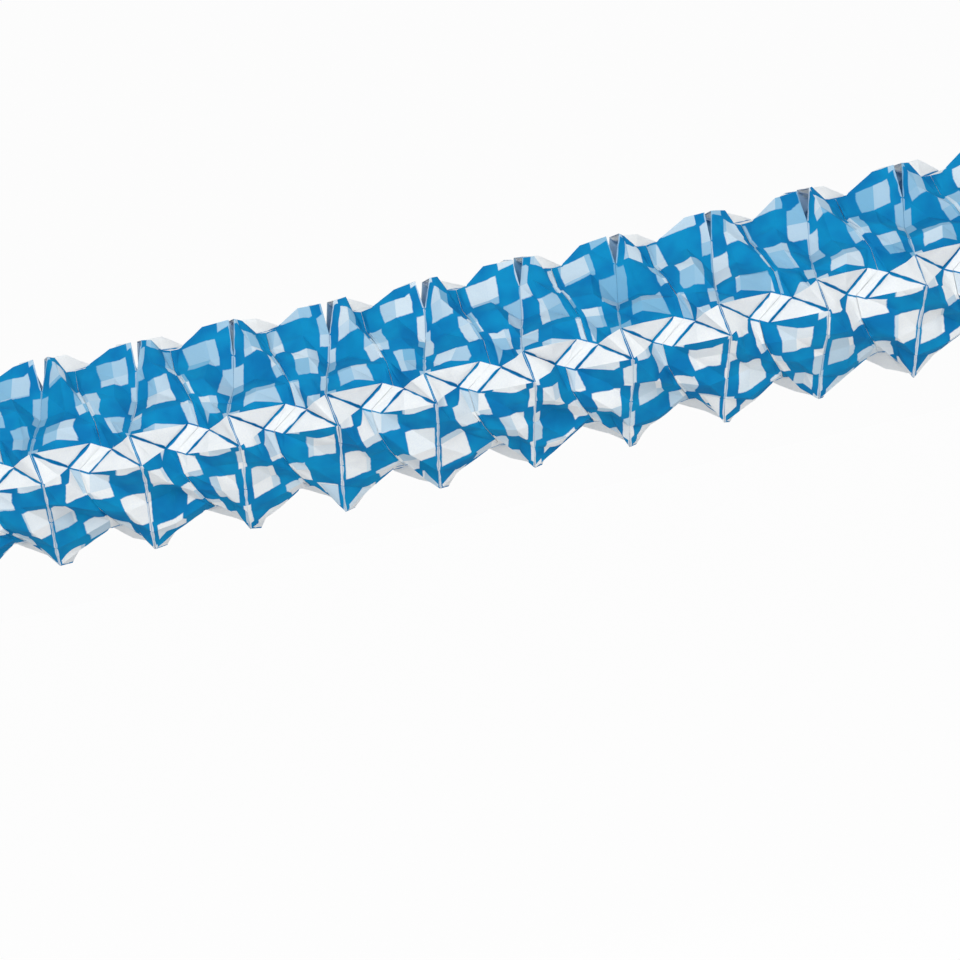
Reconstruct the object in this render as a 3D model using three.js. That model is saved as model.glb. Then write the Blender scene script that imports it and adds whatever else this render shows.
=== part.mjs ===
// A length of printed tissue paper garland: a row of folded sheets joined like a bellows.
// Each pair of sheets is glued at the tips of its four lobes, and each pair is glued to the
// next one across the flat middle of the sheets. A card disc stiffens each end.
// The garland runs along X, its most open side faces -Y, and +Z is up.
import * as THREE from 'three';

// Driving dimensions, in millimetres and degrees
const pairCount = 12; // pairs of sheets in this length
const pitch = 72.4; // from one ridge of lobes to the next
const lobeCount = 4; // lobes round the garland
const tipRadius = 80; // from the axis to the blunt end of a lobe
const tipWidth = 24; // width of that blunt end
const hubRadius = 56; // flat middle of a sheet
const hubFlatWidth = 23; // straight stretch of the middle's edge, under a lobe
const topHubRadius = 66; // the middle reaches this far up, under the top lobe
const sunkenRadius = 43; // rim between two lobes, on the upper sides
const fullRadius = 60; // rim between two lobes, on the lower sides
const slitWidth = 2; // widest opening between the rims of a pair, between two lobes
const topOpening = 7; // the glued tips stand this far apart at the top
const upperBow = 5; // how far the panels of the top bow outwards; those below hang straight
const paperThickness = 0.5; // paper as modelled, with its fuzzy surface
const glueGap = 0.3; // space for the glue between two layers
const cardRadius = 46; // stiff disc at each end
const cardThickness = 1.2;
const hangingHoleRadius = 3; // hole through the middle of each disc
const lobeTurn = -4; // the nearest lobe points this much below -Y
const lean = 5.6; // the ridges lean over along the garland
const sag = 10; // how far the middle hangs below the ends

// Facets between two lobes, from rim to flat middle, and round the edge of a card
const stepsBetweenLobes = 4;
const bandCount = 2;
const cardSegments = 32;

// Lobes are counted from the nearest one upwards
const topLobe = 1;

const halfPitch = pitch / 2;
const halfLength = pairCount * halfPitch;
const lobeAngle = THREE.MathUtils.degToRad(360 / lobeCount);
const firstLobe = THREE.MathUtils.degToRad(lobeTurn);
const leanSlope = Math.tan(THREE.MathUtils.degToRad(lean));

// The tissue's colour is the blue and the white of its print taken together
const printedTissue = new THREE.MeshStandardMaterial({ color: 0x6fb0d8, roughness: 0.9, metalness: 0 });
const whiteCard = new THREE.MeshStandardMaterial({ color: 0xeeeeea, roughness: 0.8, metalness: 0 });

// A point across the garland: angle 0 is the near side, and a quarter turn is up
function across(radius, angle) {
  return new THREE.Vector2(-Math.cos(angle) * radius, Math.sin(angle) * radius);
}

// How far apart the tips of a pair stand at one lobe
function tipOpening(lobe) {
  return lobe % lobeCount === topLobe ? topOpening : 0;
}

// Rim of a sheet, from the lobes' blunt ends in to the rim between them
function rimOutline() {
  const tipHalfAngle = Math.asin(tipWidth / 2 / tipRadius);
  const points = [];
  for (let lobe = 0; lobe < lobeCount; lobe += 1) {
    const middle = firstLobe + lobe * lobeAngle;
    const start = across(tipRadius, middle + tipHalfAngle);
    const end = across(tipRadius, middle + lobeAngle - tipHalfAngle);
    const isUpper = lobe < lobeCount / 2;
    const waist = across(isUpper ? sunkenRadius : fullRadius, middle + lobeAngle / 2);
    points.push({ at: across(tipRadius, middle - tipHalfAngle), opening: tipOpening(lobe) });
    for (let step = 0; step < stepsBetweenLobes; step += 1) {
      const along = (2 * step) / stepsBetweenLobes;
      const at = along < 1
        ? start.clone().lerp(waist, along)
        : waist.clone().lerp(end, along - 1);
      const nearTips = tipOpening(lobe) * Math.max(0, 1 - along)
        + tipOpening(lobe + 1) * Math.max(0, along - 1);
      points.push({ at, opening: nearTips + slitWidth * Math.sin((along * Math.PI) / 2) });
    }
  }
  return points;
}

// Edge of the flat middle, with as many points as the rim
function hubOutline() {
  const flatHalfAngle = Math.asin(hubFlatWidth / 2 / hubRadius);
  const arc = lobeAngle - 2 * flatHalfAngle;
  const points = [];
  for (let lobe = 0; lobe < lobeCount; lobe += 1) {
    const middle = firstLobe + lobe * lobeAngle;
    const reach = lobe === topLobe ? topHubRadius : hubRadius;
    points.push(across(reach, middle - flatHalfAngle));
    for (let step = 0; step < stepsBetweenLobes; step += 1) {
      const angle = middle + flatHalfAngle + (arc * step) / stepsBetweenLobes;
      points.push(across(step === 0 ? reach : hubRadius, angle));
    }
  }
  return points;
}

// Moves a point towards the axis
function drawIn(point, distance) {
  return point.clone().setLength(point.length() - distance);
}

// Rings of points from the rim of a sheet to the edge of its flat middle, each with its depth
function sheetRings() {
  const rim = rimOutline();
  const hub = hubOutline();
  const hubDepth = halfPitch - glueGap / 2;
  const rings = [rim.map(({ at, opening }) => ({ at, depth: (glueGap + opening) / 2 }))];
  for (let band = 1; band < bandCount; band += 1) {
    const share = band / bandCount;
    rings.push(rings[0].map(({ at, depth }, i) => {
      const straight = at.clone().lerp(hub[i], share);
      const upness = (1 + straight.y / straight.length()) / 2;
      const bow = upperBow * upness * Math.sin(Math.PI * share);
      return { at: drawIn(straight, -bow), depth: depth + (hubDepth - depth) * share };
    }));
  }
  rings.push(hub.map((at) => ({ at, depth: hubDepth })));
  return rings;
}

// The garland's own lean and sag, which keep each ridge and each flat middle in one plane
function settle(geometry) {
  const position = geometry.getAttribute('position');
  for (let i = 0; i < position.count; i += 1) {
    const x = position.getX(i);
    const drop = sag * (1 - (x / halfLength) ** 2);
    const z = position.getZ(i) - drop;
    position.setXYZ(i, x + z * leanSlope, position.getY(i), z);
  }
  geometry.computeVertexNormals();
  return geometry;
}

// One sheet: its rim at ridgeX and its flat middle half a pitch away, to the side given
function sheetGeometry(ridgeX, side) {
  const outer = sheetRings();
  const inner = outer.map((ring, band) => ring.map(({ at, depth }) => ({
    at: drawIn(at, paperThickness),
    depth: band === bandCount ? depth - paperThickness : depth,
  })));
  const count = outer[0].length;
  const vertices = [];
  const add = ({ at, depth }) => vertices.push(ridgeX + side * depth, at.x, at.y);
  [...outer, ...inner].forEach((ring) => ring.forEach(add));
  const centre = new THREE.Vector2(0, 0);
  add({ at: centre, depth: outer[bandCount][0].depth });
  add({ at: centre, depth: inner[bandCount][0].depth });

  const innerStart = (bandCount + 1) * count;
  const outerCentre = 2 * innerStart;
  const innerCentre = outerCentre + 1;
  const faces = [];
  const face = (a, b, c) => faces.push(...(side < 0 ? [a, b, c] : [a, c, b]));
  for (let i = 0; i < count; i += 1) {
    const next = (i + 1) % count;
    for (let band = 0; band < bandCount; band += 1) {
      const [near, far] = [band * count, (band + 1) * count];
      const [innerNear, innerFar] = [innerStart + near, innerStart + far];
      // The crease of each panel falls from left to right, whichever way the sheet faces
      const [creaseRim, creaseHub] = side > 0 ? [next, i] : [i, next];
      face(near + i, near + next, far + creaseHub);
      face(near + creaseRim, far + next, far + i);
      face(innerNear + i, innerFar + creaseHub, innerNear + next);
      face(innerNear + creaseRim, innerFar + i, innerFar + next);
    }
    const [outerHub, innerHub] = [bandCount * count, innerStart + bandCount * count];
    face(outerHub + i, outerHub + next, outerCentre);
    face(innerHub + i, innerCentre, innerHub + next);
    face(i, innerStart + i, next);
    face(next, innerStart + i, innerStart + next);
  }
  const geometry = new THREE.BufferGeometry();
  geometry.setAttribute('position', new THREE.Float32BufferAttribute(vertices, 3));
  geometry.setIndex(faces);
  return settle(geometry);
}

// Stiff disc glued on the outermost flat middle, with a hole to hang it by
function cardGeometry(side) {
  const shape = new THREE.Shape();
  shape.absarc(0, 0, cardRadius, 0, 2 * Math.PI);
  const hole = new THREE.Path();
  hole.absarc(0, 0, hangingHoleRadius, 0, 2 * Math.PI, true);
  shape.holes.push(hole);
  const geometry = new THREE.ExtrudeGeometry(shape, {
    depth: cardThickness,
    bevelEnabled: false,
    curveSegments: cardSegments,
  });
  geometry.rotateY((side * Math.PI) / 2);
  geometry.translate(side * (halfLength + glueGap / 2), 0, 0);
  return settle(geometry);
}

function namedMesh(name, geometry, material) {
  const mesh = new THREE.Mesh(geometry, material);
  mesh.name = name;
  return mesh;
}

const garland = new THREE.Group();
for (let pair = 0; pair < pairCount; pair += 1) {
  const ridgeX = -halfLength + halfPitch + pair * pitch;
  [-1, 1].forEach((side, half) => {
    const number = String(2 * pair + half + 1).padStart(2, '0');
    garland.add(namedMesh(`tissue_sheet_${number}`, sheetGeometry(ridgeX, side), printedTissue));
  });
}
garland.add(namedMesh('end_card_left', cardGeometry(-1), whiteCard));
garland.add(namedMesh('end_card_right', cardGeometry(1), whiteCard));

// The origin is the middle of the garland's own box
const middleOfBox = new THREE.Box3().setFromObject(garland).getCenter(new THREE.Vector3());
garland.position.copy(middleOfBox).negate();
garland.updateMatrixWorld(true);

export default garland;
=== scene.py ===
import math
import random

import bpy
from mathutils import Matrix, Vector, noise


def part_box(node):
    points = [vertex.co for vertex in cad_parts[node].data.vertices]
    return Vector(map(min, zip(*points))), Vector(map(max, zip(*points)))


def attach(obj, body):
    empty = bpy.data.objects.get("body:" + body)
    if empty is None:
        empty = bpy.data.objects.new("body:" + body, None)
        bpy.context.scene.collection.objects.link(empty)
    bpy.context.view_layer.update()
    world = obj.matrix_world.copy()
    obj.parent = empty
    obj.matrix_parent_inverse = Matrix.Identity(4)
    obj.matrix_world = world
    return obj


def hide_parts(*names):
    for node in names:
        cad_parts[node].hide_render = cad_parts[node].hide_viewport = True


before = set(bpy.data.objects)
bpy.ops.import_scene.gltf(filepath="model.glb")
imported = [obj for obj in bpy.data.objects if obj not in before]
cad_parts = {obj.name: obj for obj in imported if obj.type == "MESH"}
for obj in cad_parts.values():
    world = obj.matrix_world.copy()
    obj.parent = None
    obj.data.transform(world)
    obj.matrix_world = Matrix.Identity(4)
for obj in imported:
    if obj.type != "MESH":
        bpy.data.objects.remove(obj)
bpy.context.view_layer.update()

MM = 0.001

# The garland's own sizes, in metres and radians; the lean is a slope
PAIRS = 12
PITCH = 72.4 * MM
LOBES = 4
TIP_RADIUS = 80 * MM
TIP_WIDTH = 24 * MM
HUB_RADIUS = 56 * MM
TOP_HUB_RADIUS = 66 * MM
HUB_FLAT_WIDTH = 23 * MM
SUNKEN_RADIUS = 43 * MM  # rim between two lobes, on the upper sides
FULL_RADIUS = 60 * MM  # rim between two lobes, on the lower sides
UPPER_BOW = 5 * MM
GLUE_GAP = 0.3 * MM  # between the flat middles of two pairs
RIM_GAP = 0.06 * MM  # between the rims of a pair
TISSUE = 0.25 * MM
LOBE_TURN = math.radians(-4)
LEAN = math.tan(math.radians(5.6))
SAG = 10 * MM

# How the lobes twist: the tips a little, and the glued tabs of the middles more, the other way
TIP_SKEW = 3 * MM
TAB_TWIST = math.radians(52)
TAB_DEPTH = 7 * MM
SIDE_TAB_DEPTH = TAB_DEPTH / 3
TAB_SLIP = 3.5 * MM

# How unlike one another the sheets are, as (least, most) or as the most either way
SEED = 7
SLIT = (0.0, 0.2 * MM)
TOP_GAPE = (4 * MM, 11 * MM)
TIP_GAPE = (0.0, 0.6 * MM)
TIP_SHORT = 3 * MM
RIM_STRAY = 3 * MM
HUB_STRAY = 2 * MM
PANEL_STRAY = 4 * MM
LOBE_STRAY_SHARE = 0.4  # a lobe's flank strays this much of what the paper beside it does
ZIGZAG = 4 * MM
CREASE_DEPTH = 1.0 * MM
PUFF = 1.0 * MM
COCKLE = 0.3 * MM
COCKLE_SIZE = 9 * MM
COCKLE_SPREAD = 99  # how far apart in the noise two sheets may take their cockles
SMOOTH_SHARE = 0.9  # the middle is smooth as far out as this share of its radius

# The print, in lozenges: how many lie between two lobes, and how its place strays; and the painted blue
# shade on its white
SIDE_CELLS = 3
CELL_DEPTH = 20 * MM
RIM_MARGIN = 3.5 * MM
UPPER_MARGIN = -11 * MM
PRINT_STRAY = 0.25
ODD_SHEETS = 0.25  # share of the sheets whose print lies one lozenge further in
TIP_BULGE = 0.2
HALF_WAY_BULGE = 0.45
UPPER_PAINTED_SHADE = (0.3, 1.0)  # how much pale blue shade is painted on a panel's white, more on the upper sides, where below 0 is none
LOWER_PAINTED_SHADE = (-0.3, 0.5)

HALF_PITCH = PITCH / 2
HALF_LENGTH = PAIRS * HALF_PITCH
LOBE_ANGLE = 2 * math.pi / LOBES
TIP_HALF = math.asin(TIP_WIDTH / 2 / TIP_RADIUS)
TAB_HALF = math.asin(HUB_FLAT_WIDTH / 2 * math.cos(TAB_TWIST) / HUB_RADIUS)
TAB_SKEW = HUB_FLAT_WIDTH / 2 * math.sin(TAB_TWIST)

# Lobes are counted from the nearest one upwards
NEAR_LOBE, TOP_LOBE = 0, 1

# Columns of corners: a lobe's lower and upper one, then those on the way to the next lobe
LOW, HIGH = 0, 1
LOBE_COLUMNS = (LOW, HIGH)
SIDE_SHARES = (0.25, 0.5, 0.75)
COLUMNS = len(LOBE_COLUMNS) + len(SIDE_SHARES)

# Rows of corners, from the rim of a sheet to the edge of its flat middle
RIM, HALF_WAY, FOLD, HUB = range(4)

# Rings inside the flat middle, as shares of its edge's radius and of its edge's skew
MIDDLE_RINGS = ((0.7, 0.4), (0.35, 0.0))

# How finely each panel is cut, what brings its puff to full height in the middle, how near a
# point must be to lie on a crease, and how finely places are told apart
FINE = 9
PUFF_FACTOR = 27
ON_CREASE = 1e-9
PLACES_PER_METRE = 1e6

# The maps: a lobe takes up one white cell, and the distance to a crease is kept up to NO_CREASE
LOBE_CELLS = SIDE_CELLS + 1
WHITE_CELL = (-0.5, 0.5)
NO_CREASE = 10 * MM

# Order of the materials of a sheet
FRONT, BACK = 0, 1


def axis_height():
    """Height of the garland's axis at its ends."""
    low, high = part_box("end_card_left")
    return (low[2] + high[2]) / 2


AXIS_HEIGHT = axis_height()


def mix(a, b, share):
    return a + (b - a) * share


# Shape of a sheet. Points are (along the garland, y, z), before its lean and sag

def across(radius, angle):
    """Angle 0 is the near side, and a quarter turn is up."""
    return Vector((0, -math.cos(angle) * radius, math.sin(angle) * radius))


def along(distance):
    return Vector((distance, 0, 0))


def outward(point):
    return Vector((0, point.y, point.z)).normalized()


def onward(point):
    """The way round the garland in which the angle grows."""
    out = outward(point)
    return Vector((0, out.z, -out.y))


def stray(rng, size):
    return Vector((0, rng.uniform(-size, size), rng.uniform(-size, size)))


def side_share(column):
    """How far a column lies from one lobe to the next."""
    return SIDE_SHARES[column - len(LOBE_COLUMNS)]


def column_turn(column):
    """From -1 at the lower corner of a lobe to 1 at its upper one, and back along the side."""
    if column in LOBE_COLUMNS:
        return 2 * column - 1
    return math.cos(math.pi * side_share(column))


def rim_points(ridge_x, rng):
    """Where the rims of a pair of sheets run: (point, half of the gap between them)."""
    points = []
    for lobe in range(LOBES):
        middle = LOBE_TURN + lobe * LOBE_ANGLE
        gape = rng.uniform(*(TOP_GAPE if lobe == TOP_LOBE else TIP_GAPE))
        slit = rng.uniform(*SLIT)
        low = across(TIP_RADIUS, middle - TIP_HALF)
        high = across(TIP_RADIUS, middle + TIP_HALF)
        following = across(TIP_RADIUS, middle + LOBE_ANGLE - TIP_HALF)
        waist_radius = SUNKEN_RADIUS if lobe < LOBES / 2 else FULL_RADIUS
        waist = across(waist_radius, middle + LOBE_ANGLE / 2)
        for column in range(COLUMNS):
            if column in LOBE_COLUMNS:
                tip = (low, high)[column]
                point = tip - outward(tip) * rng.uniform(0, TIP_SHORT)
                half_gap = gape / 2
            else:
                share = side_share(column)
                if share < 0.5:
                    point = mix(high, waist, 2 * share)
                else:
                    point = mix(waist, following, 2 * share - 1)
                point = point + stray(rng, RIM_STRAY)
                half_gap = slit / 2
            points.append((point + along(ridge_x - TIP_SKEW * column_turn(column)), half_gap))
    return points


def joint_points(joint_x, skew, rng):
    """The edge of the flat middles where two pairs meet."""
    points = []
    for lobe in range(LOBES):
        middle = LOBE_TURN + lobe * LOBE_ANGLE
        for column in range(COLUMNS):
            radius = HUB_RADIUS
            if column in LOBE_COLUMNS:
                angle = middle + column_turn(column) * TAB_HALF
                radius = TOP_HUB_RADIUS if lobe == TOP_LOBE else HUB_RADIUS
            else:
                angle = middle + mix(TAB_HALF, LOBE_ANGLE - TAB_HALF, side_share(column))
            point = across(radius - rng.uniform(0, HUB_STRAY), angle)
            points.append(point + along(joint_x + skew * column_turn(column)))
    return points


class Corner:
    """A corner of the folded sheet, with its place on the print."""

    def __init__(self, point, cell):
        self.point = point
        self.cell = cell


def print_cell(depth, lobe, column, bulge, shift):
    """Cells round the garland, and cells from the rim in."""
    turn = LOBE_CELLS * lobe
    if column == LOW:
        turn += bulge - 1
    elif column == HIGH:
        turn -= bulge
    else:
        turn += SIDE_CELLS * side_share(column) + shift[0]
    by_upper_side = lobe == NEAR_LOBE and column != LOW or lobe == TOP_LOBE and column == LOW
    margin = UPPER_MARGIN if by_upper_side else RIM_MARGIN
    return turn, (depth - margin) / CELL_DEPTH + shift[1]


def sheet_corners(rim, joint, side, rng):
    """The four rows of corners of one sheet."""
    rows = [[], [], [], []]
    shift = [rng.uniform(-PRINT_STRAY, PRINT_STRAY), rng.uniform(-PRINT_STRAY, PRINT_STRAY)]
    if rng.random() < ODD_SHEETS:
        shift[1] += 1
    for i, ((edge, half_gap), end) in enumerate(zip(rim, joint)):
        lobe, column = divmod(i, COLUMNS)
        in_lobe = column in LOBE_COLUMNS
        start = edge + along(side * (half_gap + RIM_GAP / 2))
        end = end - along(side * GLUE_GAP / 2)
        flat = TAB_DEPTH if in_lobe else SIDE_TAB_DEPTH
        fold = end - along(side * flat) + outward(end) * rng.uniform(0, HUB_STRAY)
        if in_lobe:
            fold += onward(end) * side * TAB_SLIP
        upness = (1 + outward(start).z) / 2
        stray_share = LOBE_STRAY_SHARE if in_lobe else 1.0
        bow = UPPER_BOW * upness + rng.uniform(-PANEL_STRAY, PANEL_STRAY) * stray_share
        if not in_lobe:
            bow += ZIGZAG * side * (-1) ** column
        middle = mix(start, fold, 0.5)
        middle += outward(middle) * bow + along(rng.uniform(-PANEL_STRAY, PANEL_STRAY))
        places = (
            (start, 0.0, TIP_BULGE),
            (middle, HALF_PITCH / 2, HALF_WAY_BULGE),
            (fold, HALF_PITCH - flat, 0.0),
            (end, HALF_PITCH, 0.0),
        )
        for row, (point, depth, bulge) in zip(rows, places):
            row.append(Corner(point, print_cell(depth, lobe, column, bulge, shift)))
    return rows


class Panel:
    """Three corners of flat paper, seen from outside, and which of its sides are creased or cut.

    Side 0 runs from the first corner to the second, and so on. Painted blue shade is how far its
    white is painted pale blue, as shade with blue light reflected from the ink.
    """

    def __init__(self, corners, creases=(), cells=(WHITE_CELL,) * 3, cut=(), painted_blue_shade=0.0):
        self.points = [corner.point for corner in corners]
        self.cells = list(cells)
        self.creases = creases
        self.cut = cut
        self.painted_blue_shade = painted_blue_shade

    def turned_over(self):
        for values in (self.points, self.cells):
            values[1], values[2] = values[2], values[1]
        self.creases = [2 - side for side in self.creases]
        self.cut = [2 - side for side in self.cut]
        return self


def lobe_panels(rows, low, high, side):
    """A lobe's flank, with one crease that falls from left to right, and its glued tab."""
    rim_low, rim_high = rows[RIM][low], rows[RIM][high]
    half_low, half_high = rows[HALF_WAY][low], rows[HALF_WAY][high]
    fold_low, fold_high = rows[FOLD][low], rows[FOLD][high]
    tab_low, tab_high = rows[HUB][low], rows[HUB][high]
    if side > 0:
        panels = [
            Panel([rim_low, rim_high, half_low], [0]),
            Panel([half_low, rim_high, fold_low], [1]),
            Panel([rim_high, half_high, fold_low], [2]),
            Panel([half_high, fold_high, fold_low], [1]),
        ]
    else:
        panels = [
            Panel([rim_low, rim_high, half_high], [0]),
            Panel([rim_low, half_high, fold_high], [2]),
            Panel([rim_low, fold_high, half_low], [0]),
            Panel([half_low, fold_high, fold_low], [1]),
        ]
    panels.append(Panel([fold_low, fold_high, tab_low], [0]))
    panels.append(Panel([fold_high, tab_high, tab_low]))
    return panels


def side_panels(rows, i, j, side, rng):
    """The paper between two columns that aren't both in one lobe."""
    lap = LOBE_CELLS * LOBES if j == 0 else 0
    is_upper = outward(rows[RIM][i].point).z > 0
    panels = []
    for near, far in zip(rows, rows[1:]):
        a, b, c, d = near[i], near[j], far[i], far[j]
        cell = {a: a.cell, c: c.cell}
        for corner in (b, d):
            cell[corner] = (corner.cell[0] + lap, corner.cell[1])
        # Painted shade: a random share of pale blue on this panel's white, larger on the upper sides,
        # which lie in shade
        painted_blue_shade = max(0.0, rng.uniform(*(UPPER_PAINTED_SHADE if is_upper else LOWER_PAINTED_SHADE)))
        trios = ((a, b, c), (b, d, c)) if side > 0 else ((a, b, d), (a, d, c))
        for number, trio in enumerate(trios):
            cut = [0] if near is rows[RIM] and number == 0 else []
            cells = [cell[corner] for corner in trio]
            panels.append(Panel(trio, cells=cells, cut=cut, painted_blue_shade=painted_blue_shade))
    return panels


def middle_panels(hub):
    """The flat middle, glued to the sheet of the next pair."""
    centre = Corner(along(sum(corner.point.x for corner in hub) / len(hub)), WHITE_CELL)
    rings = [hub]
    for radius_share, skew_share in MIDDLE_RINGS:
        ring = []
        for corner in hub:
            x = mix(centre.point.x, corner.point.x, skew_share)
            point = Vector((x, corner.point.y * radius_share, corner.point.z * radius_share))
            ring.append(Corner(point, WHITE_CELL))
        rings.append(ring)
    panels = []
    for i in range(len(hub)):
        j = (i + 1) % len(hub)
        for near, far in zip(rings, rings[1:]):
            panels.append(Panel([near[i], near[j], far[j]]))
            panels.append(Panel([near[i], far[j], far[i]]))
        panels.append(Panel([rings[-1][i], rings[-1][j], centre]))
    return panels


def sheet_panels(rows, side, rng):
    count = len(rows[RIM])
    panels = middle_panels(rows[HUB])
    for i in range(count):
        j = (i + 1) % count
        if i % COLUMNS == LOW:
            panels += lobe_panels(rows, i, j, side)
        else:
            panels += side_panels(rows, i, j, side, rng)
    return [panel.turned_over() for panel in panels] if side > 0 else panels


def settle(point):
    """The garland's own lean and sag, which keep each ridge in one plane."""
    z = point.z - SAG * (1 - (point.x / HALF_LENGTH) ** 2)
    return Vector((point.x + z * LEAN, point.y, z + AXIS_HEIGHT))


class Skin:
    """The outer face of a sheet, finely cut; points at the same place are one."""

    def __init__(self):
        self.points = []
        self.pushes = []
        self.numbers = {}
        self.faces = []
        self.cells = []
        # Per face corner: how far a crease or cut is, and the panel's painted blue shade
        self.folds = []
        self.owners = []
        self.panel_count = 0

    def number(self, place, push):
        """The number of the point at a place, which keeps the strongest push given for it."""
        key = tuple(round(value * PLACES_PER_METRE) for value in place)
        if key not in self.numbers:
            self.numbers[key] = len(self.points)
            self.points.append(place)
            self.pushes.append(push)
        number = self.numbers[key]
        if abs(push) > abs(self.pushes[number]):
            self.pushes[number] = push
        return number

    def spot(self, panel, heights, shares, puff):
        """One point of a panel: its number, its place on the print, and how far the folds are, with the
        panel's painted blue shade.
        """
        opposite = (shares[2], shares[0], shares[1])

        def nearest(sides):
            return min([opposite[side] * heights[side] for side in sides], default=NO_CREASE)

        a, b, c = panel.points
        place = a * shares[0] + b * shares[1] + c * shares[2]
        cell = [sum(share * cell[n] for share, cell in zip(shares, panel.cells)) for n in (0, 1)]
        crease = nearest(panel.creases)
        push = -CREASE_DEPTH if crease < ON_CREASE else puff * PUFF_FACTOR * math.prod(shares)
        line = -min(nearest(panel.cut), NO_CREASE) if panel.cut else min(crease, NO_CREASE)
        return self.number(place, push), cell, (line / NO_CREASE, panel.painted_blue_shade)

    def add(self, panel, puff):
        """Cuts one panel into small faces, puffed out a little and tucked in along its creases."""
        a, b, c = panel.points
        double_area = (b - a).cross(c - a).length
        heights = [double_area / side.length for side in (b - a, c - b, a - c)]
        spots = {}
        for i in range(FINE + 1):
            for j in range(FINE + 1 - i):
                shares = ((FINE - i - j) / FINE, i / FINE, j / FINE)
                spots[i, j] = self.spot(panel, heights, shares, puff)
        for i in range(FINE):
            for j in range(FINE - i):
                trios = [((i, j), (i + 1, j), (i, j + 1))]
                if i + j < FINE - 1:
                    trios.append(((i + 1, j), (i + 1, j + 1), (i, j + 1)))
                for trio in trios:
                    numbers, cells, folds = zip(*(spots[spot] for spot in trio))
                    self.faces.append(list(numbers))
                    self.cells.append(list(cells))
                    self.folds.append(list(folds))
                    self.owners.append(self.panel_count)
        self.panel_count += 1

    def normals(self, points):
        mesh = bpy.data.meshes.new("normals")
        mesh.from_pydata(points, [], self.faces)
        found = [normal.vector.copy() for normal in mesh.vertex_normals]
        bpy.data.meshes.remove(mesh)
        return found

    def edges(self):
        """Each edge with the panels on its sides; an edge of the whole sheet has only one."""
        owners = {}
        for face, owner in zip(self.faces, self.owners):
            for a, b in zip(face, face[1:] + face[:1]):
                owners.setdefault((min(a, b), max(a, b)), []).append((owner, a, b))
        return owners

    def settled_points(self, fixed, seed):
        """The points in their last place; the sheet's own edge and its middle stay smooth."""
        placed = []
        normals = self.normals(self.points)
        for number, (point, push, normal) in enumerate(zip(self.points, self.pushes, normals)):
            is_middle = math.hypot(point.y, point.z) < HUB_RADIUS * SMOOTH_SHARE
            if number not in fixed and not is_middle:
                cockle = COCKLE * noise.noise(point / COCKLE_SIZE + seed)
                point = point + normal * (push + cockle)
            placed.append(settle(point))
        return placed


def sheet_mesh(name, rim, joint, side, rng):
    """A sheet as a thin closed body, with its place on the print kept as a map."""
    rows = sheet_corners(rim, joint, side, rng)
    skin = Skin()
    for panel in sheet_panels(rows, side, rng):
        skin.add(panel, rng.uniform(-PUFF, PUFF))
    edges = skin.edges()
    border = [sides[0][1:] for sides in edges.values() if len(sides) == 1]
    fixed = {number for edge in border for number in edge}
    outer = skin.settled_points(fixed, stray(rng, COCKLE_SPREAD))
    inner = [point - normal * TISSUE for point, normal in zip(outer, skin.normals(outer))]
    total = len(outer)
    back = [[total + number for number in reversed(face)] for face in skin.faces]
    edge_faces = [[b, a, total + a, total + b] for a, b in border]
    mesh = bpy.data.meshes.new(name)
    mesh.from_pydata(outer + inner, [], skin.faces + back + edge_faces)

    def both_faces(values, edge_value):
        return values + [value[::-1] for value in values] + [[edge_value] * 4] * len(edge_faces)

    # The fold map keeps the distance to a crease or cut and each panel's painted blue shade
    for map_name, corners in (
        ("print", both_faces(skin.cells, WHITE_CELL)),
        ("fold", both_faces(skin.folds, (1.0, 0.0))),
    ):
        layer = mesh.uv_layers.new(name=map_name)
        flat = [value for face in corners for corner in face for value in corner]
        layer.data.foreach_set("uv", flat)
    for polygon in mesh.polygons:
        polygon.use_smooth = True
        polygon.material_index = FRONT if polygon.index < len(skin.faces) else BACK
    folded = set()
    for key, sides in edges.items():
        panels_beside = {owner for owner, _, _ in sides}
        if len(sides) == 1 or len(panels_beside) > 1:
            folded.add(key)
    for edge in mesh.edges:
        a, b = (number % total for number in edge.vertices)
        edge.use_edge_sharp = (min(a, b), max(a, b)) in folded
    return mesh


# Materials

class Nodes:
    """Short way to add and join the nodes of one material or world."""

    def __init__(self, owner):
        owner.use_nodes = True
        self.tree = owner.node_tree
        self.tree.nodes.clear()

    def add(self, kind, inputs=(), **settings):
        node = self.tree.nodes.new(kind)
        for key, value in settings.items():
            setattr(node, key, value)
        for key, value in dict(inputs).items():
            socket = node.inputs[key]
            if isinstance(value, bpy.types.NodeSocket):
                self.tree.links.new(value, socket)
            else:
                socket.default_value = value
        return node

    def math(self, operation, *values):
        return self.add("ShaderNodeMath", dict(enumerate(values)), operation=operation).outputs[0]

    def vector_math(self, operation, *values):
        inputs = dict(enumerate(values))
        return self.add("ShaderNodeVectorMath", inputs, operation=operation).outputs[0]

    def blend(self, share, a, b):
        return self.add("ShaderNodeMix", {0: share, 6: a, 7: b}, data_type="RGBA").outputs[2]

    def range(self, value, low, high, to_low=0.0, to_high=1.0):
        inputs = {"Value": value, "From Min": low, "From Max": high, "To Min": to_low, "To Max": to_high}
        return self.add("ShaderNodeMapRange", inputs).outputs[0]

    def noise(self, vector, scale, detail):
        inputs = {"Vector": vector, "Scale": scale, "Detail": detail}
        return self.add("ShaderNodeTexNoise", inputs).outputs

    def weigh(self, share, a, b):
        """This share of a, and the rest of b."""
        return self.math("ADD", self.math("MULTIPLY", a, share), self.math("MULTIPLY", b, 1 - share))

    def bump(self, height, strength, distance):
        inputs = {"Height": height, "Strength": strength, "Distance": distance}
        return self.add("ShaderNodeBump", inputs).outputs[0]

    def mix_shaders(self, share, a, b):
        return self.add("ShaderNodeMixShader", {0: share, 1: a, 2: b}).outputs[0]


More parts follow.
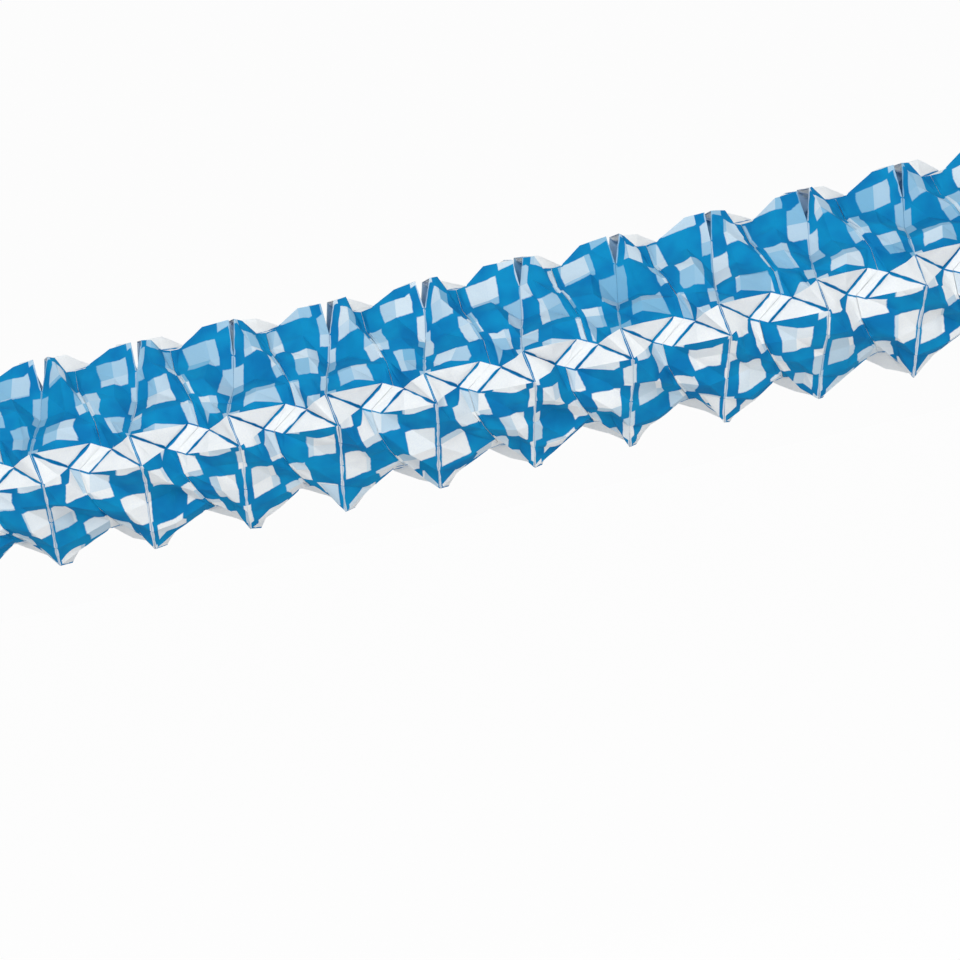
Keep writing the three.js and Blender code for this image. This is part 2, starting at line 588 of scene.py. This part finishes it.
def srgb(red, green, blue):
    """A colour given as it looks on a screen, 0 to 255, as a shader's own value."""
    def linear(value):
        share = value / 255
        return share / 12.92 if share <= 0.04045 else ((share + 0.055) / 1.055) ** 2.4
    return (linear(red), linear(green), linear(blue), 1.0)


WHITE = (1, 1, 1, 1)
BACKDROP_WHITE = 0.975
PAPER_WHITE = srgb(248, 250, 249)
PAPER_SHADE = srgb(240, 243, 246)
INK_BLUE = srgb(2, 150, 204)
INK_DEEP = srgb(0, 128, 190)
# Pale blue painted on the white as shade, with the blue light that the ink reflects
PAINTED_SHADE_BLUE = srgb(128, 190, 222)
CARD_WHITE = srgb(240, 239, 235)
CARD_SHADE = srgb(228, 227, 222)
FLOOR_WHITE = srgb(250, 250, 250)

# Noises as (fineness, detail), and between which values most of a noise lies
FIBRE = (900.0, 3.0)
CRUMPLE = (160.0, 3.0)
LINE_WANDER = (90.0, 1.0)
INK_PATCH = (45.0, 2.0)
CARD_GRAIN = (700.0, 4.0)
CARD_PATCH = (60.0, 2.0)
MOST_NOISE = (0.3, 0.7)
PATCHY_NOISE = (0.35, 0.65)

# How rough the surfaces are: the first noise's share of two, and (strength, depth) of the bumps
CRUMPLE_SHARE = 0.8
CARD_GRAIN_SHARE = 0.6
PAPER_BUMP = (0.3, 0.5 * MM)
CARD_BUMP = (0.3, 0.2 * MM)

# The ink: how far its edges wander, in cells of the print, how soft they are, and how far it
# spreads past the borders of a lozenge
BLEED = 0.05
BLEED_NOISE = (6.0, 3.0)
EDGE_SOFTNESS = 0.06
BORDER_SOFTNESS = 0.04
INK_SPREAD = 0.2

# The thin blue line along each crease, painted shade in the fold that also stands for the blue paper
# tucked into it, and along each cut, a painted white highlight: its width, that width's least and most
# share, and its two edges in widths, each from where the line starts to where it is full
LINE_WIDTH = 1.0 * MM
THINNEST, WIDEST = 0.5, 1.5
CREASE_EDGES = (1.2, 0.8), (-0.1, 0.0)
CUT_EDGES = (-1.1, -0.8), (0.0, -0.1)

# How much of the ink shows on the back, how strongly the painted highlight along a cut takes the ink
# away, and how much light comes through the paper
BACK_INK = 0.35
RIM_HIGHLIGHT_STRENGTH = 0.8
GLOW = 0.4


def lozenge_print(nodes):
    """1 on ink and 0 on paper: lozenges in turn blue and white, with blue along their borders."""
    cell = nodes.add("ShaderNodeUVMap", uv_map="print").outputs[0]
    bleed = nodes.noise(cell, *BLEED_NOISE)["Color"]
    centred = nodes.vector_math("SUBTRACT", bleed, (0.5, 0.5, 0.5))
    moved = nodes.vector_math("MULTIPLY_ADD", centred, (BLEED,) * 3, cell)
    split = nodes.add("ShaderNodeSeparateXYZ", {0: moved}).outputs
    waves = [nodes.math("SINE", nodes.math("MULTIPLY", split[k], math.pi)) for k in (0, 1)]
    stripes = [nodes.range(wave, -EDGE_SOFTNESS, EDGE_SOFTNESS, -1.0, 1.0) for wave in waves]
    lozenges = nodes.range(nodes.math("MULTIPLY", *stripes), -1.0, 1.0)
    for wave in waves:
        distance = nodes.math("ABSOLUTE", wave)
        border = nodes.range(distance, INK_SPREAD + BORDER_SOFTNESS, INK_SPREAD - BORDER_SOFTNESS)
        lozenges = nodes.math("MAXIMUM", lozenges, border)
    return lozenges


def crease_shade_and_rim_highlight(nodes, distance, place):
    """Painted shade as a thin blue line along a crease, and a painted highlight along a cut, where the
    distance is below 0.
    """
    wander = nodes.noise(place, *LINE_WANDER)["Fac"]
    line_share = LINE_WIDTH / NO_CREASE
    width = nodes.range(wander, *MOST_NOISE, THINNEST * line_share, WIDEST * line_share)
    in_widths = nodes.math("DIVIDE", distance, width)
    return [
        nodes.math("MULTIPLY", *(nodes.range(in_widths, *edge) for edge in edges))
        for edges in (CREASE_EDGES, CUT_EDGES)
    ]


def printed_tissue(name, ink_share):
    """Thin white tissue with blue lozenges printed on it and pale blue shade painted on the white of
    some panels; light comes through it.
    """
    material = bpy.data.materials.new(name)
    nodes = Nodes(material)
    place = nodes.add("ShaderNodeTexCoord").outputs["Object"]
    fold_map = nodes.add("ShaderNodeUVMap", uv_map="fold").outputs[0]
    distance, painted_blue_shade = nodes.add("ShaderNodeSeparateXYZ", {0: fold_map}).outputs[:2]
    fibre = nodes.noise(place, *FIBRE)["Fac"]
    patch = nodes.noise(place, *INK_PATCH)["Fac"]

    # Painted light: a blue line of painted shade along each crease, and a painted white highlight along
    # each cut that takes the ink away
    line, rim_highlight = crease_shade_and_rim_highlight(nodes, distance, place)
    # Painted highlight: the ink is taken away along each cut rim so that the rim looks lit
    ink_left_by_rim_highlight = nodes.math("SUBTRACT", 1.0, nodes.math("MULTIPLY", rim_highlight, RIM_HIGHLIGHT_STRENGTH))
    ink_and_crease_shade = nodes.math("MULTIPLY", nodes.math("MAXIMUM", lozenge_print(nodes), line), ink_left_by_rim_highlight)

    ink = nodes.blend(nodes.range(patch, *PATCHY_NOISE), INK_BLUE, INK_DEEP)
    paper = nodes.blend(nodes.range(fibre, *MOST_NOISE), PAPER_WHITE, PAPER_SHADE)
    # Painted shade: the white turns pale blue by each panel's painted blue shade share
    paper = nodes.blend(painted_blue_shade, paper, PAINTED_SHADE_BLUE)
    colour = nodes.blend(nodes.math("MULTIPLY", ink_and_crease_shade, ink_share), paper, ink)

    crumple = nodes.noise(place, *CRUMPLE)["Fac"]
    bump = nodes.bump(nodes.weigh(CRUMPLE_SHARE, crumple, fibre), *PAPER_BUMP)
    face = nodes.add(
        "ShaderNodeBsdfPrincipled",
        {"Base Color": colour, "Roughness": 0.85, "Specular IOR Level": 0.2, "Normal": bump},
    )
    glow = nodes.add("ShaderNodeBsdfTranslucent", {"Color": colour, "Normal": bump})
    shader = nodes.mix_shaders(GLOW, face.outputs[0], glow.outputs[0])
    nodes.add("ShaderNodeOutputMaterial", {"Surface": shader})
    return material


def white_card():
    """Pressed white card with a fine grain."""
    material = bpy.data.materials.new("white_card")
    nodes = Nodes(material)
    place = nodes.add("ShaderNodeTexCoord").outputs["Object"]
    grain = nodes.noise(place, *CARD_GRAIN)["Fac"]
    patch = nodes.noise(place, *CARD_PATCH)["Fac"]
    shade = nodes.weigh(CARD_GRAIN_SHARE, grain, patch)
    colour = nodes.blend(nodes.range(shade, *MOST_NOISE), CARD_SHADE, CARD_WHITE)
    bump = nodes.bump(grain, *CARD_BUMP)
    face = nodes.add(
        "ShaderNodeBsdfPrincipled", {"Base Color": colour, "Roughness": 0.75, "Normal": bump}
    )
    nodes.add("ShaderNodeOutputMaterial", {"Surface": face.outputs[0]})
    return material


# The floor, wide enough that its edge is never seen, and how far it looks plain white
FLOOR_HALF = 40.0
FLOOR_HEIGHT = -0.6
FLOOR_BRIGHTNESS = 0.93


def backdrop_material():
    """White to the camera, apart from the shadow that falls on it."""
    material = bpy.data.materials.new("backdrop")
    nodes = Nodes(material)
    path = nodes.add("ShaderNodeLightPath").outputs
    seen = nodes.math("MAXIMUM", path["Is Camera Ray"], path["Is Glossy Ray"])
    seen = nodes.math("MAXIMUM", seen, path["Is Transmission Ray"])
    floor = nodes.add("ShaderNodeBsdfDiffuse", {"Color": FLOOR_WHITE})
    bright = nodes.add("ShaderNodeEmission", {"Color": WHITE, "Strength": 1.0})
    share = nodes.math("MULTIPLY", seen, FLOOR_BRIGHTNESS)
    shader = nodes.mix_shaders(share, floor.outputs[0], bright.outputs[0])
    nodes.add("ShaderNodeOutputMaterial", {"Surface": shader})
    return material


# The pieces of the scene

def make_sheets():
    front = printed_tissue("tissue_front", 1.0)
    back = printed_tissue("tissue_back", BACK_INK)
    rng = random.Random(SEED)
    rims = [rim_points(-HALF_LENGTH + HALF_PITCH + pair * PITCH, rng) for pair in range(PAIRS)]
    joints = []
    for number in range(PAIRS + 1):
        skew = 0.0 if number in (0, PAIRS) else TAB_SKEW
        joints.append(joint_points(-HALF_LENGTH + number * PITCH, skew, rng))
    for pair in range(PAIRS):
        for half, side in enumerate((-1, 1)):
            name = f"tissue_sheet_{2 * pair + half + 1:02d}"
            mesh = sheet_mesh(name + "_paper", rims[pair], joints[pair + half], side, rng)
            mesh.materials.append(front)
            mesh.materials.append(back)
            piece = bpy.data.objects.new(name + "_paper", mesh)
            bpy.context.scene.collection.objects.link(piece)
            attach(piece, "root")
            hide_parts(name)


def finish_cards():
    card = white_card()
    for name in ("end_card_left", "end_card_right"):
        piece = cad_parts[name]
        for material_slot in piece.material_slots:
            material_slot.material = card


def make_stage():
    mesh = bpy.data.meshes.new("floor")
    turns = ((-1, -1), (1, -1), (1, 1), (-1, 1))
    corners = [(x * FLOOR_HALF, y * FLOOR_HALF, FLOOR_HEIGHT) for x, y in turns]
    mesh.from_pydata(corners, [], [(0, 1, 2, 3)])
    mesh.materials.append(backdrop_material())
    floor = bpy.data.objects.new("floor", mesh)
    bpy.context.scene.collection.objects.link(floor)


# Where the camera stands: the garland rises to the right across the upper half of the picture
VIEW_ROLL = math.radians(12.7)
VIEW_DISTANCE = 2.0
PICTURE_PIXELS = 960
GARLAND_PIXELS = 214
PIXEL = 2 * TIP_RADIUS / GARLAND_PIXELS
STRAND_ABOVE_MIDDLE = 106
SENSOR = 36.0
NEAREST_SEEN = 0.05
FURTHEST_SEEN = 50


def make_camera():
    data = bpy.data.cameras.new("camera")
    camera = bpy.data.objects.new("camera", data)
    bpy.context.scene.collection.objects.link(camera)
    bpy.context.scene.camera = camera
    right = Vector((math.cos(VIEW_ROLL), 0, -math.sin(VIEW_ROLL)))
    up = Vector((math.sin(VIEW_ROLL), 0, math.cos(VIEW_ROLL)))
    strand = Vector((0, 0, AXIS_HEIGHT - SAG))
    eye = strand - up * STRAND_ABOVE_MIDDLE * PIXEL - Vector((0, VIEW_DISTANCE, 0))
    turn = Matrix((right, up, right.cross(up))).transposed()
    camera.matrix_world = Matrix.Translation(eye) @ turn.to_4x4()
    data.sensor_width = SENSOR
    data.lens = SENSOR * VIEW_DISTANCE / (PICTURE_PIXELS * PIXEL)
    data.clip_start = NEAREST_SEEN
    data.clip_end = FURTHEST_SEEN


# The light: its softest part comes from all round, and the lamps are (name, place, size, power)
SOFT_LIGHT = 0.74
LAMPS = (
    ("key", (-0.3, -2.3, 1.0), 0.8, 38),
    ("fill", (1.4, -1.8, -0.3), 1.2, 8),
)


def make_lights():
    world = bpy.data.worlds.new("studio")
    bpy.context.scene.world = world
    nodes = Nodes(world)
    path = nodes.add("ShaderNodeLightPath").outputs
    soft = nodes.add("ShaderNodeBackground", {"Color": WHITE, "Strength": SOFT_LIGHT})
    white = nodes.add("ShaderNodeBackground", {"Color": WHITE, "Strength": BACKDROP_WHITE})
    seen = nodes.math("MAXIMUM", path["Is Camera Ray"], path["Is Glossy Ray"])
    shader = nodes.mix_shaders(seen, soft.outputs[0], white.outputs[0])
    nodes.add("ShaderNodeOutputWorld", {"Surface": shader})

    for name, place, size, power in LAMPS:
        data = bpy.data.lights.new(name, "AREA")
        data.size = size
        data.energy = power
        lamp = bpy.data.objects.new(name, data)
        lamp.location = place
        lamp.rotation_euler = (-Vector(place)).to_track_quat("-Z", "Y").to_euler()
        bpy.context.scene.collection.objects.link(lamp)


make_camera()
make_sheets()
finish_cards()
make_stage()
make_lights()
bpy.context.scene.view_settings.view_transform = "Standard"
